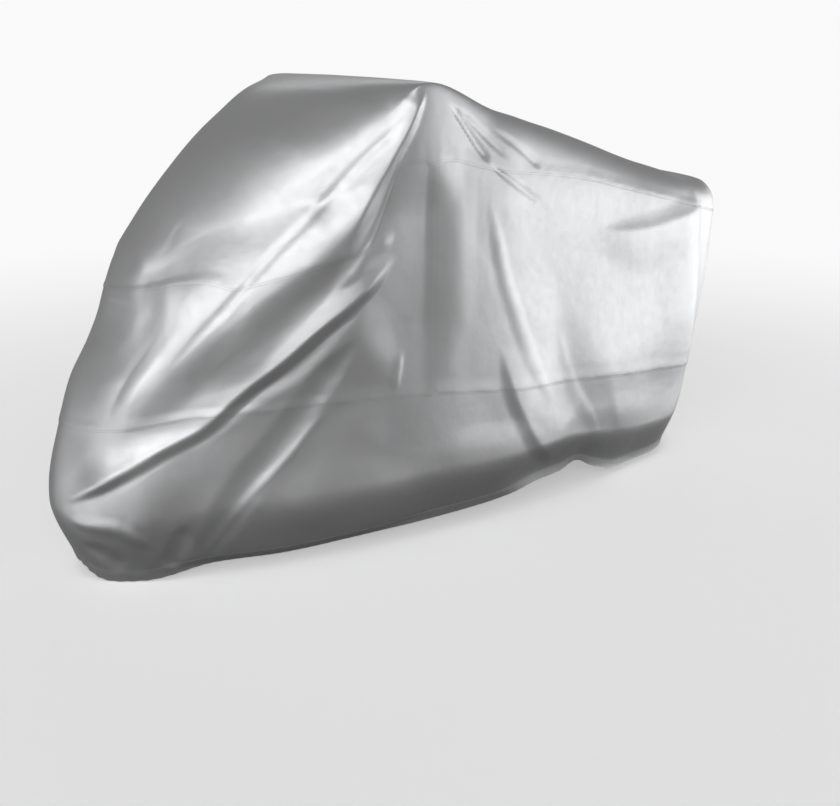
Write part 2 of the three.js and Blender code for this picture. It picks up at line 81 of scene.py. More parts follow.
# The loft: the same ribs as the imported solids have.
CARRIED_HEIGHT = 1150
LEVELS = {"hem": 0, "belly": 150, "low": 400, "high": 850, "shoulder": 1070, "crown": 1400}
KNOTS = np.array(list(LEVELS.values()), float)
CROWN = LEVELS["crown"]
BELLY_PLACE = 0.55
RIBS = dict(
    nose_centre=dict(foot=(-1035, 0, 25), belly=52, low=(-1052, 0, 420),
        high=(-930, 0, 685), shoulder=(-896, 0, 775), crown=(-868, 835)),
    nose_corner=dict(foot=(-1010, 88, 2), belly=50, low=(-1024, 85, 420),
        high=(-890, 110, 690), shoulder=(-855, 92, 790), crown=(-850, 865)),
    nose_side=dict(foot=(-930, 152, 0), belly=42, low=(-965, 158, 420),
        high=(-800, 190, 700), shoulder=(-745, 170, 845), crown=(-800, 932)),
    wheel=dict(foot=(-760, 208, 28), belly=38, low=(-805, 235, 425),
        high=(-650, 265, 720), shoulder=(-575, 250, 940), crown=(-695, 1045)),
    fork=dict(foot=(-560, 262, 30), belly=38, low=(-585, 305, 430),
        high=(-470, 340, 770), shoulder=(-420, 325, 1060), crown=(-565, 1150)),
    screen=dict(foot=(-385, 292, 36), belly=38, low=(-395, 350, 435),
        high=(-340, 380, 900), shoulder=(-300, 368, 1160), crown=(-430, 1228)),
    grip=dict(foot=(-170, 315, 40), belly=38, low=(-170, 385, 435),
        high=(-175, 402, 1040), shoulder=(-190, 396, 1240), crown=(-200, 1246)),
    tank=dict(foot=(60, 320, 45), belly=38, low=(60, 385, 405),
        high=(50, 375, 1000), shoulder=(40, 346, 1166), crown=(0, 1152)),
    seat=dict(foot=(400, 305, 62), belly=38, low=(400, 345, 370),
        high=(390, 330, 950), shoulder=(385, 280, 1068), crown=(385, 1046)),
    pillion=dict(foot=(690, 262, 14), belly=36, low=(710, 292, 330),
        high=(700, 285, 880), shoulder=(690, 232, 975), crown=(690, 966)),
    tail_side=dict(foot=(915, 210, 12), belly=24, low=(950, 240, 310),
        high=(985, 235, 835), shoulder=(955, 192, 915), crown=(950, 932)),
    tail_corner=dict(foot=(1005, 115, 26), belly=20, low=(1088, 130, 295),
        high=(1155, 138, 800), shoulder=(1115, 120, 886), crown=(1105, 900)),
    tail_centre=dict(foot=(1040, 0, 38), belly=22, low=(1124, 0, 290),
        high=(1200, 0, 790), shoulder=(1190, 0, 852), crown=(1155, 888)),
)
HEM_LIFTS = dict(
    rear_notch=dict(along=1635, lift=22, width=55),
    rear_drop=dict(along=1830, lift=-10, width=70),
)
LOW_SEAM = [(0, 395), (150, 400), (385, 427), (545, 423), (800, 415), (1005, 402), (1545, 407),
            (1945, 412), (2230, 395), (2435, 392)]
HIGH_SEAM = [(0, 985), (215, 945), (320, 900), (545, 896), (650, 868), (765, 822), (865, 920),
             (940, 895), (1015, 862), (1520, 870), (1860, 872), (2140, 841), (2435, 838)]

# Folds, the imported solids' own in a finer form and the small ones between them. path is the
# [along, level] points that a fold runs through. depth is how far it stands out, or in where it is
# negative. front is the width of its front side at its start and at its end, and rear is how wide
# its rear side is beside that. grow and fade are the shares of its length where it rises and dies.
# A side's form is how round its crest and its foot are: 1 is sharp and 2 is soft. A row gives what
# differs from PLAIN_FOLD.
PLAIN_FOLD = dict(rear=1, grow=0.3, fade=0.3, front_form=(2, 2), rear_form=(2, 2))
GRIP_FAN = dict(front=(6, 8), rear=1.8, grow=0.2, rear_form=(1.2, 2))
LEFT_FOLDS = dict(
    front_face=dict(depth=22, front=(50, 190), rear=0.6,
        path=[(815, 910), (655, 915), (515, 905), (370, 840), (305, 735), (265, 540)]),
    tip_edge=dict(depth=10, front=(30, 90), rear=0.3, grow=0.12, front_form=(1.1, 1.4),
        rear_form=(1.3, 1.6),
        path=[(990, 1025), (910, 975), (835, 960), (770, 940), (710, 915), (660, 875)]),
    front_valley=dict(depth=-2, front=(30, 44),
        path=[(675, 880), (655, 850), (565, 855), (485, 825), (430, 765), (375, 660), (305, 495),
        (205, 385)]),
    ridge_crease=dict(depth=-2, front=(11, 12), grow=0.1,
        path=[(900, 1010), (670, 1020), (500, 990), (370, 930), (265, 775), (255, 550)]),
    front_lap=dict(depth=14, front=(62, 46), rear=0.38, grow=0.12, fade=0.15, front_form=(1.1, 2),
        rear_form=(1.4, 1.4),
        path=[(880, 725), (735, 710), (605, 700), (515, 575), (410, 410), (265, 325), (145, 250),
        (35, 170)]),
    lower_face=dict(depth=7, front=(24, 36), rear=5, grow=0.15, fade=0.25,
        path=[(825, 680), (720, 595), (630, 500), (535, 435), (415, 345), (300, 290), (175, 215),
        (110, 180)]),
    pocket_streak=dict(depth=3.5, front=(20, 24), rear=0.8, grow=0.2,
        path=[(870, 780), (750, 795), (690, 805), (625, 810)]),
    second_valley=dict(depth=-7, front=(26, 40), grow=0.2, fade=0.2,
        path=[(780, 600), (700, 500), (640, 400), (570, 300), (440, 150), (350, 20)]),
    low_ridge=dict(depth=1.6, front=(10, 16), rear=0.6, grow=0.2, fade=0.12,
        path=[(738, 435), (667, 344), (596, 256), (453, 134), (332, 24)]),
    third_face=dict(depth=4, front=(60, 80), fade=0.2,
        path=[(860, 430), (790, 300), (720, 180), (590, 60)]),
    short_step=dict(depth=2, front=(16, 20), rear=0.3, path=[(920, 515), (910, 465), (900, 410)]),
    upright_trough=dict(depth=-14, front=(120, 140), rear=0.6, grow=0.25, fade=0.35,
        rear_form=(1.4, 2),
        path=[(985, 885), (988, 645), (998, 380)]),
    rear_ridge=dict(depth=6, front=(100, 150), grow=0.2, fade=0.25,
        path=[(1150, 900), (1230, 680), (1330, 480), (1480, 230)]),
    rear_streak=dict(depth=3, front=(20, 28), rear=0.8, grow=0.25,
        path=[(1190, 800), (1250, 650), (1310, 555), (1465, 320)]),
    rear_ridge_2=dict(depth=1.2, front=(20, 30), rear=0.6, path=[(1470, 555), (1550, 375), (1705, 95)]),
    rear_swell=dict(depth=24, front=(160, 230), rear=1.5, fade=0.2,
        path=[(1475, 285), (1670, 435), (1875, 510), (2065, 575), (2250, 625)]),
    tail_wedge=dict(depth=9, front=(80, 110), rear=0.4, grow=0.35, fade=0.12, rear_form=(1.2, 2),
        path=[(1600, 725), (1755, 735), (1895, 755), (2015, 785), (2170, 835)]),
    grip_fan_1=dict(GRIP_FAN, depth=-5, front=(6, 9), fade=0.12,
        path=[(1075, 985), (1130, 935), (1200, 875)]),
    grip_fan_2=dict(GRIP_FAN, depth=-3, fade=0.2, path=[(1100, 975), (1180, 940), (1275, 895)]),
    grip_fan_3=dict(GRIP_FAN, depth=-2.6, grow=0.3, fade=0.15,
        path=[(1220, 965), (1305, 930), (1400, 880)]),
    grip_fan_4=dict(GRIP_FAN, depth=-3, fade=0.35, path=[(1195, 875), (1295, 825), (1420, 775)]),
    under_shoulder=dict(depth=12, front=(200, 220), rear=0.55, grow=0.2, fade=0.25,
        path=[(1120, 890), (1500, 890), (2100, 880)]),
    low_valley=dict(depth=8, front=(22, 32), rear=5, fade=0.2, front_form=(1.15, 1.6),
        path=[(1240, 510), (1280, 415), (1325, 305), (1390, 170), (1515, 45)]),
    low_swell=dict(depth=3, front=(45, 45), path=[(975, 190), (1205, 200), (1435, 180)]),
    front_hem_roll=dict(depth=15, front=(30, 30), rear=5, path=[(180, 35), (600, 30), (1080, 35)]),
    rear_tuck=dict(depth=-22, front=(60, 60), rear=3.4, grow=0.2, fade=0.1,
        path=[(1250, 55), (1750, 40), (2250, 30), (2430, 30)]),
    nose_crease=dict(depth=-0.9, front=(6, 8), path=[(210, 1215), (165, 1165), (135, 1100)]),
    nose_valley=dict(depth=-5, front=(80, 90), rear=0.5, grow=0.45, fade=0.25,
        path=[(135, 1105), (115, 960), (115, 855), (105, 745), (95, 650), (70, 545)]),
    nose_foot=dict(depth=4, front=(18, 22), rear=0.8, path=[(45, 135), (150, 135), (235, 70)]),
    nose_gather=dict(depth=-7, front=(20, 26), grow=0.35, fade=0.1,
        path=[(320, 125), (290, 75), (255, 20)]),
    nose_tuck=dict(depth=-4, front=(18, 24), grow=0.35, fade=0.2,
        path=[(65, 80), (115, 70), (155, 30)]),
    tail_hang=dict(depth=12, front=(30, 50), rear=0.8, grow=0.25,
        path=[(2330, 780), (2345, 560), (2380, 240)]),
)
RIGHT_FOLDS = dict(
    front_ridge=dict(depth=20, front=(50, 140), rear=0.6, grow=0.12, fade=0.25,
        path=[(985, 1050), (740, 960), (500, 880), (330, 660), (160, 400)]),
    front_valley=dict(depth=-8, front=(30, 62), grow=0.2, fade=0.25,
        path=[(930, 880), (760, 840), (560, 750), (380, 560), (190, 300)]),
    front_lap=dict(depth=16, front=(64, 60), rear=0.5, grow=0.15, fade=0.2,
        path=[(925, 770), (790, 690), (640, 560), (470, 330), (280, 130)]),
    low_ridge=dict(depth=7, front=(22, 36), rear=0.6, grow=0.2, fade=0.15,
        path=[(900, 560), (760, 320), (560, 40)]),
    upright_trough=dict(depth=-9, front=(90, 110), rear=0.9, fade=0.25,
        path=[(1015, 885), (1015, 645), (1020, 380)]),
    rear_ridge=dict(depth=10, front=(60, 100), rear=0.6, grow=0.2,
        path=[(1120, 930), (1230, 640), (1400, 200)]),
    rear_ridge_2=dict(depth=7, front=(20, 36), rear=0.6, path=[(1420, 760), (1570, 520), (1790, 160)]),
    rear_swell=dict(depth=16, front=(150, 200), path=[(1560, 420), (1850, 520), (2180, 610)]),
    tail_wedge=dict(depth=8, front=(70, 90), rear=0.4, grow=0.35, fade=0.12, rear_form=(1.2, 2),
        path=[(1700, 700), (1960, 740), (2210, 850)]),
    under_shoulder=dict(depth=-6, front=(24, 50), grow=0.15, fade=0.2,
        path=[(1070, 1000), (1480, 930), (2100, 910)]),
    nose_valley=dict(depth=-7, front=(90, 110), rear=0.4, fade=0.25,
        path=[(160, 1060), (110, 800), (40, 520)]),
    tail_hang=dict(depth=14, front=(32, 50), rear=0.8, grow=0.25,
        path=[(2300, 790), (2330, 540), (2350, 200)]),
)
FOLD_STEPS = 60
CURVE_STEPS = 40
FORM_WIDTH = 1.6
NARROW_END = 0.45

# Noise is drawn on a lattice of this many values a side. The shift keeps its cells above zero.
LATTICE = 32
LATTICE_SHIFT = 100

# How the panels meet. A panel's edge laps over the one below it, and is held by two rows of stitches.
SEAM_RIDGE = dict(height=0.15, width=6, fade=10)
PUCKER = dict(height=0.3, reach=16, size=17, seed=10)
LAP_RAMP = 34
CROSSING_FADE = 50
HEM = dict(casing=25, thickness=2.6, bulge=0.5, groove=0.4, edge=4)
GATHER = dict(spacing=31, reach=75, height=0.25, at_ends=1.0, end_reach=330, wander=2.2,
              wander_size=160, seed=20)
CLOUD = [dict(size=210, height=1.6), dict(size=95, height=0.6)]
FINE_EDGE = np.array([0, 2, 4, 7, 10, 14, 19, 25], float)
SHARP_ANGLE = math.radians(55)

# Stitches. An inset is how far a row is from its panel's edge, as a share of the lap. Upright rows
# stop short of the seam above them. A ring is its share of a stitch's length, and how many threads
# it stands off the cloth. Points a little beside a row show which way the cloth faces there.
STITCH_INSETS = (0.22, 0.72)
STITCH_STOP = 12
TAIL_START = 30
STITCH_RINGS = [(0.0, -0.25), (0.25, 0.45), (0.75, 0.45), (1.0, -0.25)]
THREAD_SIDES = 4
BESIDE = 1.5

# The studio's light. AIR is its brightness from straight below, 0, to straight above, 1. Each panel
# has its middle's place round from the camera's side and above the horizon, and half its width and
# height, in degrees. soft is the share of a panel over which it dies away. The lamp, the floor and
# the camera's SIGHT are in metres, and its SENSOR is in millimetres.
AIR = [(0.0, 0.02), (0.12, 0.04), (0.2, 0.08), (0.3, 0.15), (0.42, 0.2), (0.5, 0.25), (0.58, 0.22),
       (1.0, 0.22)]
PANELS = dict(
    key=dict(azimuth=-6, elevation=22, width=38, height=14, glow=2.5, soft=0.35),
    right=dict(azimuth=112, elevation=-7, width=52, height=16, glow=1.75, soft=0.45),
    left=dict(azimuth=-50, elevation=-13, width=60, height=18, glow=1.0, soft=0.6),
)
BACK_LAMP = dict(azimuth=180, elevation=45, distance=5, size=(4, 2), glow=0.6)
# near_glow and more_glow are the floor's painted glow close to the cover and how much it grows further off.
FLOOR = dict(half=40.0, gap=0.002, near=1.5, far=5.0, near_glow=0.4, more_glow=0.55)
BACKDROP = 0.95
SENSOR = 36
SIGHT = 200


def length(name, description, default, low, high):
    """A length that can be set, in metres."""
    return bpy.props.FloatProperty(
        name=name, description=description, default=default, min=low, max=high, unit="LENGTH")


def angle(name, description, degrees):
    """An angle that can be set."""
    return bpy.props.FloatProperty(
        name=name, description=description, default=math.radians(degrees), subtype="ANGLE")


def share(name, description, default):
    """A share that can be set, from 0 to 1."""
    return bpy.props.FloatProperty(
        name=name, description=description, default=default, min=0, max=1, subtype="FACTOR")


def colour(name, description, *default):
    """A colour that can be set."""
    return bpy.props.FloatVectorProperty(
        name=name, description=description, default=default, min=0, max=1, subtype="COLOR")


class CoverSizes(bpy.types.PropertyGroup):
    """Sizes of the cloth and its sewing."""

    thickness: length("Cloth Thickness", "Thickness of one layer of cloth", 0.0007, 0.0003, 0.003)
    lap: length("Seam Lap", "How far a panel's edge laps over the next", 0.012, 0.004, 0.03)
    lift: length("Lap Lift", "How far a lapped edge stands off the panel under it", 0.0011, 0.0008, 0.006)
    pitch: length("Stitch Pitch", "Distance from one stitch to the next", 0.0044, 0.002, 0.01)
    stitch: length("Stitch Length", "Length of one stitch", 0.0031, 0.001, 0.008)
    thread: length("Thread", "Thickness of the thread", 0.0007, 0.0002, 0.002)


class CoverColours(bpy.types.PropertyGroup):
    """Colours and gloss of the cloth and its thread."""

    cloth: colour("Cloth", "Silver coating of the outside", 0.675, 0.68, 0.69)
    inside: colour("Inside", "Bare back of the coated cloth", 0.30, 0.305, 0.315)
    thread: colour("Thread", "Sewing thread", 0.42, 0.425, 0.435)
    metal: share("Metal", "How metallic the coating is", 0.8)
    roughness: share("Roughness", "Roughness of the coating", 0.38)


class CoverStage(bpy.types.PropertyGroup):
    """Floor, lights and camera."""

    azimuth: angle("Azimuth", "Camera's direction round the cover", -34.9)
    elevation: angle("Elevation", "Camera's height above the horizon", 17.2)
    distance: length("Distance", "Camera's distance from its target", 3.69, 1, 20)
    target: bpy.props.FloatVectorProperty(
        name="Target", description="Point that the camera looks at",
        default=(0.054, 0.0, -0.88), subtype="XYZ")
    lens: bpy.props.FloatProperty(
        name="Lens", description="Camera's focal length in millimetres, on a 36 mm wide sensor",
        default=51.43, min=10, max=200)
    floor: colour("Floor", "Colour of the studio floor", 0.93, 0.93, 0.93)


def smooth_step(value):
    """0 below 0, 1 above 1, and a soft step between."""
    t = np.clip(value, 0, 1)
    return t * t * (3 - 2 * t)


def hermite(t, span, first, first_slope, last, last_slope):
    """A cubic between two values with given slopes."""
    return ((2 * t ** 3 - 3 * t ** 2 + 1) * first + (t ** 3 - 2 * t ** 2 + t) * span * first_slope
            + (3 * t ** 2 - 2 * t ** 3) * last + (t ** 3 - t ** 2) * span * last_slope)


def knot_slopes(places, values, steady):
    """Slopes at the inner knots. A steady curve never runs past its own points."""
    spans = np.diff(places).reshape(-1, *[1] * (values.ndim - 1))
    rises = np.diff(values, axis=0) / spans
    before, after = rises[:-1], rises[1:]
    slopes = (before * spans[1:] + after * spans[:-1]) / (spans[1:] + spans[:-1])
    if steady:
        limit = 3 * np.minimum(abs(before), abs(after))
        slopes = np.where(before * after <= 0, 0, np.clip(slopes, -limit, limit))
    return slopes


def span_at(places, value):
    """The index of the span of places that each value lies in."""
    return np.clip(np.searchsorted(places, value, side="right") - 1, 0, len(places) - 2)


def run_along(line):
    """How far each point of a line is from its first one, along the line."""
    return np.concatenate([[0], np.cumsum(np.linalg.norm(np.diff(line, axis=0), axis=1))])


def curve_at(places, values, slopes, where):
    """A smooth curve through the values at places, read where it is asked for."""
    at = span_at(places, where)
    after = at + 1
    deep = (..., *[None] * (values.ndim - 1))
    span = (places[after] - places[at])[deep]
    t = (where - places[at])[deep] / span
    return hermite(t, span, values[at], slopes[at], values[after], slopes[after])


def curve_through(path, steps):
    """Evenly spaced points on a smooth curve through the points of a path."""
    path = np.array(path, float)
    last = len(path) - 1
    ahead = np.vstack([path[1:], path[-1:]]) - np.vstack([path[:1], path[:-1]])
    t = np.linspace(0, last, CURVE_STEPS * last + 1)
    fine = curve_at(np.arange(last + 1), path, ahead / 2, t)
    run = run_along(fine)
    even = np.linspace(0, run[-1], steps + 1)
    return np.stack([np.interp(even, run, fine[:, axis]) for axis in (0, 1)], 1)


def cloud(points, size, seed):
    """Smooth noise from -1 to 1 over points in space, with lumps of a given size."""
    lattice = np.random.default_rng(seed).uniform(-1, 1, (LATTICE, LATTICE, LATTICE))
    place = points / size + LATTICE_SHIFT
    cell = np.floor(place).astype(int)
    part = smooth_step(place - cell)
    total = np.zeros(points.shape[:-1])
    for corner in np.ndindex(2, 2, 2):
        weight = np.prod(np.where(corner, part, 1 - part), axis=-1)
        picked = ((cell + corner) % LATTICE).reshape(-1, 3).T
        total += weight * lattice[tuple(picked)].reshape(total.shape)
    return total


class Loft:
    """The plain shape that the folds stand on."""

    def __init__(self):
        low, foot, high, shoulder, belly_rise = (
            np.array([rib[key] for rib in RIBS.values()], float)
            for key in ("low", "foot", "high", "shoulder", "belly"))
        ring = np.vstack([low[1] * (1, -1, 1), low, low[-2] * (1, -1, 1)])[:, :2]
        run = ring[2:] - ring[:-2]
        outward = np.stack([-run[:, 1], run[:, 0]], 1) / np.linalg.norm(run, axis=1)[:, None]
        belly = low + (foot - low) * BELLY_PLACE
        belly[:, :2] += outward * belly_rise[:, None]
        crown = np.array([(rib["crown"][0], 0, rib["crown"][1]) for rib in RIBS.values()], float)
        self.knots = np.stack([foot, belly, low, high, shoulder, crown], 1)
        self.places = run_along(ring[1:-1])
        self.end = self.places[-1]
        mirror = np.array([1, -1, 1])
        around = np.concatenate([self.knots[1:2] * mirror, self.knots, self.knots[-2:-1] * mirror])
        past = 2 * self.end - self.places[-2]
        places = np.concatenate([[-self.places[1]], self.places, [past]])
        self.slopes = knot_slopes(places, around, False)

    def ribs_at(self, along):
        """The six knots of the rib at each distance along the left side."""
        return curve_at(self.places, self.knots, self.slopes, along)

    def points(self, along, level):
        """Points of the loft, in millimetres above the hem's lowest point."""
        shape = np.broadcast(along, level).shape
        along = np.broadcast_to(along, shape).ravel().astype(float)
        level = np.broadcast_to(level, shape).ravel().astype(float)
        side = np.where(along < 0, RIGHT, LEFT)
        along = abs(along)
        side = np.where(along > self.end, -side, side)
        along = self.end - abs(self.end - along)
        side = np.where(level > CROWN, -side, side)
        level = CROWN - abs(CROWN - level)
        ribs = self.ribs_at(along).transpose(1, 0, 2)
        under = ribs[0] + (ribs[0] - ribs[1])
        values = np.concatenate([under[None], ribs, ribs[4:5] * (1, -1, 1)])
        places = np.concatenate([[2 * KNOTS[0] - KNOTS[1]], KNOTS, [2 * KNOTS[-1] - KNOTS[-2]]])
        slopes = knot_slopes(places, values, True)
        at, each = span_at(KNOTS, level), np.arange(len(level))
        after = at + 1
        span = (KNOTS[after] - KNOTS[at])[:, None]
        t = (level - KNOTS[at])[:, None] / span
        found = hermite(t, span, ribs[at, each], slopes[at, each], ribs[after, each], slopes[after, each])
        near_hem = np.clip(1 - level / LEVELS["belly"], 0, 1) ** 2
        for place in HEM_LIFTS.values():
            off = (along - place["along"]) / place["width"]
            found[:, 2] += place["lift"] * near_hem * np.exp(-off ** 2)
        found[:, 1] *= side
        return found.reshape(*shape, 3)

    def normals(self, along, level):
        """Outward directions of the loft. Where the crown ends, they are those just below its end."""
        step = 2.0
        along, level = np.broadcast_arrays(along, level)
        from_end = np.minimum(abs(along), abs(self.end - abs(along)))
        near_crown_end = (from_end < step) & (abs(CROWN - level) < step)
        level = np.where(near_crown_end, CROWN - 2 * step, level)
        across = self.points(along + step, level) - self.points(along - step, level)
        rise = self.points(along, level + step) - self.points(along, np.maximum(level - step, 0))
        normal = np.cross(across, rise)
        return normal / np.linalg.norm(normal, axis=-1, keepdims=True)


class Fold:
    """A fold whose line lies on the loft as a run of short straight steps."""

    def __init__(self, loft, side, row):
        line = curve_through(row["path"], FOLD_STEPS)
        self.side, self.row = side, {**PLAIN_FOLD, **row}
        self.line = loft.points(-side * line[:, 0], line[:, 1])
        run = run_along(self.line)
        self.shares = run / run[-1]
        reach = FORM_WIDTH * max(row["front"]) * max(self.row["rear"], 1)
        self.room = self.line.min(0) - reach, self.line.max(0) + reach

    def height(self, points, normals):
        """How far the fold raises the loft at flat lists of points."""
        raised = np.zeros(len(points))
        near = ((points > self.room[0]) & (points < self.room[1])).all(1)
        if not near.any():
            return raised
        points, normals = points[near], normals[near]
        nearest, part, frontward = (np.full(len(points), value) for value in (np.inf, 0.0, 0.0))
        for start, end, first, last in zip(self.line, self.line[1:], self.shares, self.shares[1:]):
            step = end - start
            t = np.clip((points - start) @ step / (step @ step), 0, 1)
            offset = points - start - t[:, None] * step
            distance = np.linalg.norm(offset, axis=1)
            closer = distance < nearest
            nearest[closer] = distance[closer]
            part[closer] = first + t[closer] * (last - first)
            ahead = (offset[closer] * np.cross(step, normals[closer])).sum(1)
            frontward[closer] = -self.side * ahead
        row = self.row
        strength = smooth_step(part / row["grow"]) * smooth_step((1 - part) / row["fade"])
        spread = NARROW_END + (1 - NARROW_END) * strength
        front = (row["front"][0] + (row["front"][1] - row["front"][0]) * part) * spread
        width = np.where(frontward > 0, front, front * row["rear"])
        crest, foot = (np.where(frontward > 0, *pair) for pair in zip(row["front_form"], row["rear_form"]))
        fall = np.clip(1 - np.clip(nearest / (FORM_WIDTH * width), 0, 1) ** crest, 0, 1) ** foot
        raised[near] = row["depth"] * strength * fall
        return raised


class Drape:
    """The whole cloth: the loft, its folds and the unevenness that sewing and wear leave in it."""

    def __init__(self):
        self.loft = Loft()
        self.end = self.loft.end
        self.grip = self.loft.places[list(RIBS).index("grip")]
        self.folds = [Fold(self.loft, side, row)
                      for side, rows in ((LEFT, LEFT_FOLDS), (RIGHT, RIGHT_FOLDS)) for row in rows.values()]

    def seam(self, table, along):
        """A seam's level at distances along the cover, on either side."""
        places, levels = np.array(table, float).T
        slopes = np.concatenate([[0], knot_slopes(places, levels, True), [0]])
        return curve_at(places, levels, slopes, self.end - abs(self.end - abs(along)))

    def relief(self, along, level, points):
        """Small unevenness: soft lumps, puckers along the seams, gathers and a casing at the hem."""
        height = sum(row["height"] * cloud(points, row["size"], seed) for seed, row in enumerate(CLOUD))
        up = CROWN - abs(CROWN - level)
        low, high = (self.seam(table, along) for table in (LOW_SEAM, HIGH_SEAM))
        for index, off in enumerate((up - low, up - high)):
            height = height + SEAM_RIDGE["height"] * np.exp(-(off / SEAM_RIDGE["width"]) ** 2)
            ripple = cloud(points, PUCKER["size"], PUCKER["seed"] + index)
            height = height + PUCKER["height"] * ripple * np.exp(-abs(off) / PUCKER["reach"])
        from_grip = abs(abs(along) - self.grip)
        from_grip = np.minimum(from_grip, abs(2 * self.end - abs(along) - self.grip))
        upright = SEAM_RIDGE["height"] * np.exp(-(from_grip / SEAM_RIDGE["width"]) ** 2)
        band = smooth_step((high - up) / SEAM_RIDGE["fade"]) * smooth_step((up - low) / SEAM_RIDGE["fade"])
        height = height + upright * band
        ends = np.exp(-(along / GATHER["end_reach"]) ** 2)
        ends = ends + np.exp(-((self.end - abs(along)) / GATHER["end_reach"]) ** 2)
        wander = GATHER["wander"] * cloud(points * (1, 1, 0.2), GATHER["wander_size"], GATHER["seed"])
        wave = np.sin(2 * math.pi * along / GATHER["spacing"] + wander)
        strength = GATHER["height"] + GATHER["at_ends"] * np.minimum(ends, 1)
        height = height + strength * wave * np.exp(-up / GATHER["reach"])
        under_row = HEM["casing"] - up
        height = height + HEM["bulge"] * smooth_step(under_row / HEM["edge"])
        return height - HEM["groove"] * np.exp(-(under_row / HEM["edge"]) ** 2)

    def surface(self, along, level, lift=0.0):
        """Points on the cloth's outer face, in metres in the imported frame."""
        shape = np.broadcast(along, level).shape
        along = np.broadcast_to(along, shape).astype(float)
        level = np.broadcast_to(level, shape).astype(float)
        points, normals = self.loft.points(along, level), self.loft.normals(along, level)
        height = sum(fold.height(points.reshape(-1, 3), normals.reshape(-1, 3)) for fold in self.folds)
        height = height.reshape(shape) + self.relief(along, level, points) + lift
        placed = points + normals * height[..., None]
        placed[..., 2] -= CARRIED_HEIGHT
        return placed * MM


drape = Drape()


def lapped(distance, lift):
    """Lift of an edge that laps over another panel: full past the seam, and none well before it."""
    return lift * smooth_step(1 - distance / LAP_RAMP)


def bridged(distance, lap, lift):
    """Lift of a panel that crosses over a seam under it."""
    return lift * smooth_step(1 - (abs(distance) - lap) / LAP_RAMP)


class Panel:
    """A panel of the cover: where it lies on the drape, and how its edges lap."""

    def __init__(self, sizes):
        self.lap = sizes.lap / MM
        self.lift = sizes.lift / MM

    def grid(self):
        """The distances along and the levels of the panel's points, column by column."""
        along, low, high = self.edges()
        level = graded(low, high, self.cell)
        return np.broadcast_to(along[:, None], level.shape), level

    def surface(self, along, level):
        """Points on the panel's outer face."""
        return drape.surface(along, level, self.lift_at(along, level))


class TopPanel(Panel):
    """From one high seam over the crown to the other."""

    cell = 7.6

    def edges(self):
        along = graded(0, drape.end, self.cell, fine=False)
        low = drape.seam(HIGH_SEAM, along) - self.lap
        return along, low, 2 * CROWN - low

    def lift_at(self, along, level):
        off = CROWN - abs(CROWN - level) - drape.seam(HIGH_SEAM, along)
        bridge = bridged(abs(along) - drape.grip, self.lap, self.lift)
        return lapped(off, self.lift) + bridge * smooth_step(1 - off / CROSSING_FADE)


class Band(Panel):
    """Side cloth between the low seam and the high one."""

    def edges(self):
        along = graded(*self.ends(), self.cell)
        return along, drape.seam(LOW_SEAM, along) - self.lap, drape.seam(HIGH_SEAM, along)


class FrontBand(Band):
    """Round the nose from one grip seam to the other."""

    cell = 6.2

    def ends(self):
        reach = drape.grip + self.lap
        return -reach, reach

    def lift_at(self, along, level):
        off = level - drape.seam(LOW_SEAM, along)
        return lapped(off, self.lift) + lapped(drape.grip - abs(along), self.lift)


class RearBand(Band):
    """Round the tail from one grip seam to the other."""

    cell = 7

    def ends(self):
        return drape.grip, 2 * drape.end - drape.grip

    def lift_at(self, along, level):
        off = level - drape.seam(LOW_SEAM, along)
        bridge = bridged(along - drape.end, self.lap, self.lift)
        return lapped(off, self.lift) + bridge * smooth_step(1 - off / CROSSING_FADE)


class Skirt(Panel):
    """Round the whole cover below the low seam, with one seam at the tail's centre."""

    cell = 7.4

    def edges(self):
        along = graded(-drape.end, drape.end + self.lap, self.cell)
        return along, 0 * along, drape.seam(LOW_SEAM, along)

    def lift_at(self, along, level):
        return lapped(drape.end - along, self.lift) + 0 * level


def graded(low, high, cell, fine=True):
    """Places from low to high a cell apart, and closer together near edges that are fine."""
    low, high = np.atleast_1d(low)[..., None], np.atleast_1d(high)[..., None]
    edge = FINE_EDGE if fine else FINE_EDGE[:1]
    inner_low, inner_high = low + edge[-1], high - edge[-1]
    count = int(np.median(inner_high - inner_low) / cell)
    inner = inner_low + np.arange(1, count) / count * (inner_high - inner_low)
    return np.concatenate([low + edge, inner, high - edge[::-1]], axis=-1).squeeze()


def grid_normals(points, ids):
    """Outward directions at the points of a grid, shared by the points that have one id."""
    across, rise = np.gradient(points, axis=0), np.gradient(points, axis=1)
    normals = np.cross(across, rise)
    total = np.zeros((ids.max() + 1, 3))
    np.add.at(total, ids.ravel(), normals.reshape(-1, 3))
    total /= np.linalg.norm(total, axis=1, keepdims=True) + 1e-12
    return total[ids]


